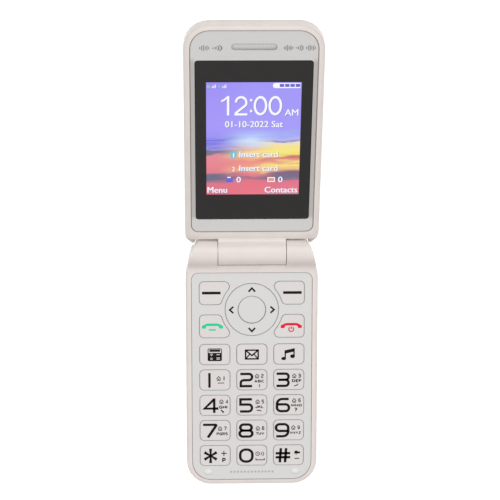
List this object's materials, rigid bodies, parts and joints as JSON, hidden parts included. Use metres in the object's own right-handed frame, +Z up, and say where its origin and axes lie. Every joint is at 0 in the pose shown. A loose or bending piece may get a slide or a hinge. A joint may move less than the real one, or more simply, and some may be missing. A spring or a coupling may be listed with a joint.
{
  "type": "clamshell mobile telephone",
  "caption": "Folding mobile telephone with a colour display in the lid and large separate keys in the base, shown open and lying on its back.",
  "frame": {"origin": "centre of the base's flat back, on the table", "axes": "+Y from the keypad towards the lid, +X to the right of the user, +Z up out of the keypad"},
  "size_m": [0.0542, 0.1943, 0.045],
  "materials": {
    "pearl_white": "pearl white lacquer on moulded ABS",
    "silver_grey": "satin silver-grey paint",
    "keycap": "satin moulded polycarbonate",
    "window_black": "clear acrylic, black printing behind",
    "display": "lit colour display",
    "silicone": "moulded silicone",
    "circuit_board": "solder mask over glass laminate",
    "steel": "stamped or turned steel",
    "dark_plastic": "moulded plastic",
    "battery_wrap": "printed wrap over a lithium cell",
    "film": "polyimide flexible circuit"
  },
  "bodies": {
    "base": {"base_front_housing": "pearl_white", "base_rear_housing": "pearl_white", "keypad_panel": "silver_grey", "bumper_left": "silicone", "bumper_right": "silicone", "key_mat": "silicone", "dome_sheet": "steel", "main_board": "circuit_board", "battery": "battery_wrap", "battery_contacts": "dark_plastic", "sim_holder": "steel", "loudspeaker": "dark_plastic", "microphone": "steel", "vibration_motor": "steel", "usb_socket": "steel", "base_screw_1": "steel", "base_screw_2": "steel", "base_screw_3": "steel", "base_screw_4": "steel", "hinge_cam": "steel", "hinge_sleeve": "steel"},
    "lid": {"lid_inner_housing": "pearl_white", "lid_outer_cover": "pearl_white", "lid_panel": "silver_grey", "screen_window": "window_black", "earpiece_grille": "steel", "earpiece": "dark_plastic", "display_panel": "display", "display_tray": "steel", "lid_board": "circuit_board", "lid_magnet": "steel", "lid_camera": "dark_plastic", "hinge_can": "steel", "hinge_spring": "steel", "flex_cable": "film"},
    "cover": {"battery_cover": "pearl_white"},
    "rocker": {"nav_rocker": "silicone"},
    "ring": {"nav_ring": "silver_grey"},
    "follower": {"hinge_follower": "steel"},
    "ok_key": {"ok_key": "keycap"},
    "soft_key_left": {"soft_key_left": "keycap"},
    "soft_key_right": {"soft_key_right": "keycap"},
    "call_key": {"call_key": "keycap"},
    "end_key": {"end_key": "keycap"},
    "calculator_key": {"calculator_key": "keycap"},
    "message_key": {"message_key": "keycap"},
    "music_key": {"music_key": "keycap"},
    "key_1": {"key_1": "keycap"},
    "key_2": {"key_2": "keycap"},
    "key_3": {"key_3": "keycap"},
    "key_4": {"key_4": "keycap"},
    "key_5": {"key_5": "keycap"},
    "key_6": {"key_6": "keycap"},
    "key_7": {"key_7": "keycap"},
    "key_8": {"key_8": "keycap"},
    "key_9": {"key_9": "keycap"},
    "key_star": {"key_star": "keycap"},
    "key_0": {"key_0": "keycap"},
    "key_hash": {"key_hash": "keycap"}
  },
  "joints": [
    {"name": "lid_hinge", "type": "hinge", "parent": "base", "child": "lid", "pos_m": [0, 0.04698, 0.0118], "axis": [1, 0, 0], "range_deg": [0, 160]},
    {"name": "cover_slide", "type": "slide", "parent": "base", "child": "cover", "axis": [0, -1, 0], "range_m": [0, 0.012]},
    {"name": "nav_side_tilt", "type": "hinge", "parent": "base", "child": "rocker", "pos_m": [0, 0.02293, 0.00947], "axis": [0, 1, 0], "range_deg": [-1.2, 1.2], "stiffness_Nm_per_rad": 0.25},
    {"name": "nav_long_tilt", "type": "hinge", "parent": "rocker", "child": "ring", "pos_m": [0, 0.02293, 0.00947], "axis": [1, 0, 0], "range_deg": [-1.2, 1.2], "stiffness_Nm_per_rad": 0.25},
    {"name": "follower_push", "type": "slide", "parent": "lid", "child": "follower", "axis": [-1, 0, 0], "range_m": [0, 0.00025], "stiffness_N_per_m": 8000},
    {"name": "ok_key_press", "type": "slide", "parent": "base", "child": "ok_key", "axis": [0, 0, -1], "range_m": [0, 0.0004], "stiffness_N_per_m": 2500},
    {"name": "soft_key_left_press", "type": "slide", "parent": "base", "child": "soft_key_left", "axis": [0, 0, -1], "range_m": [0, 0.0004], "stiffness_N_per_m": 2500},
    {"name": "soft_key_right_press", "type": "slide", "parent": "base", "child": "soft_key_right", "axis": [0, 0, -1], "range_m": [0, 0.0004], "stiffness_N_per_m": 2500},
    {"name": "call_key_press", "type": "slide", "parent": "base", "child": "call_key", "axis": [0, 0, -1], "range_m": [0, 0.0004], "stiffness_N_per_m": 2500},
    {"name": "end_key_press", "type": "slide", "parent": "base", "child": "end_key", "axis": [0, 0, -1], "range_m": [0, 0.0004], "stiffness_N_per_m": 2500},
    {"name": "calculator_key_press", "type": "slide", "parent": "base", "child": "calculator_key", "axis": [0, 0, -1], "range_m": [0, 0.0004], "stiffness_N_per_m": 2500},
    {"name": "message_key_press", "type": "slide", "parent": "base", "child": "message_key", "axis": [0, 0, -1], "range_m": [0, 0.0004], "stiffness_N_per_m": 2500},
    {"name": "music_key_press", "type": "slide", "parent": "base", "child": "music_key", "axis": [0, 0, -1], "range_m": [0, 0.0004], "stiffness_N_per_m": 2500},
    {"name": "key_1_press", "type": "slide", "parent": "base", "child": "key_1", "axis": [0, 0, -1], "range_m": [0, 0.0004], "stiffness_N_per_m": 2500},
    {"name": "key_2_press", "type": "slide", "parent": "base", "child": "key_2", "axis": [0, 0, -1], "range_m": [0, 0.0004], "stiffness_N_per_m": 2500},
    {"name": "key_3_press", "type": "slide", "parent": "base", "child": "key_3", "axis": [0, 0, -1], "range_m": [0, 0.0004], "stiffness_N_per_m": 2500},
    {"name": "key_4_press", "type": "slide", "parent": "base", "child": "key_4", "axis": [0, 0, -1], "range_m": [0, 0.0004], "stiffness_N_per_m": 2500},
    {"name": "key_5_press", "type": "slide", "parent": "base", "child": "key_5", "axis": [0, 0, -1], "range_m": [0, 0.0004], "stiffness_N_per_m": 2500},
    {"name": "key_6_press", "type": "slide", "parent": "base", "child": "key_6", "axis": [0, 0, -1], "range_m": [0, 0.0004], "stiffness_N_per_m": 2500},
    {"name": "key_7_press", "type": "slide", "parent": "base", "child": "key_7", "axis": [0, 0, -1], "range_m": [0, 0.0004], "stiffness_N_per_m": 2500},
    {"name": "key_8_press", "type": "slide", "parent": "base", "child": "key_8", "axis": [0, 0, -1], "range_m": [0, 0.0004], "stiffness_N_per_m": 2500},
    {"name": "key_9_press", "type": "slide", "parent": "base", "child": "key_9", "axis": [0, 0, -1], "range_m": [0, 0.0004], "stiffness_N_per_m": 2500},
    {"name": "key_star_press", "type": "slide", "parent": "base", "child": "key_star", "axis": [0, 0, -1], "range_m": [0, 0.0004], "stiffness_N_per_m": 2500},
    {"name": "key_0_press", "type": "slide", "parent": "base", "child": "key_0", "axis": [0, 0, -1], "range_m": [0, 0.0004], "stiffness_N_per_m": 2500},
    {"name": "key_hash_press", "type": "slide", "parent": "base", "child": "key_hash", "axis": [0, 0, -1], "range_m": [0, 0.0004], "stiffness_N_per_m": 2500}
  ]
}
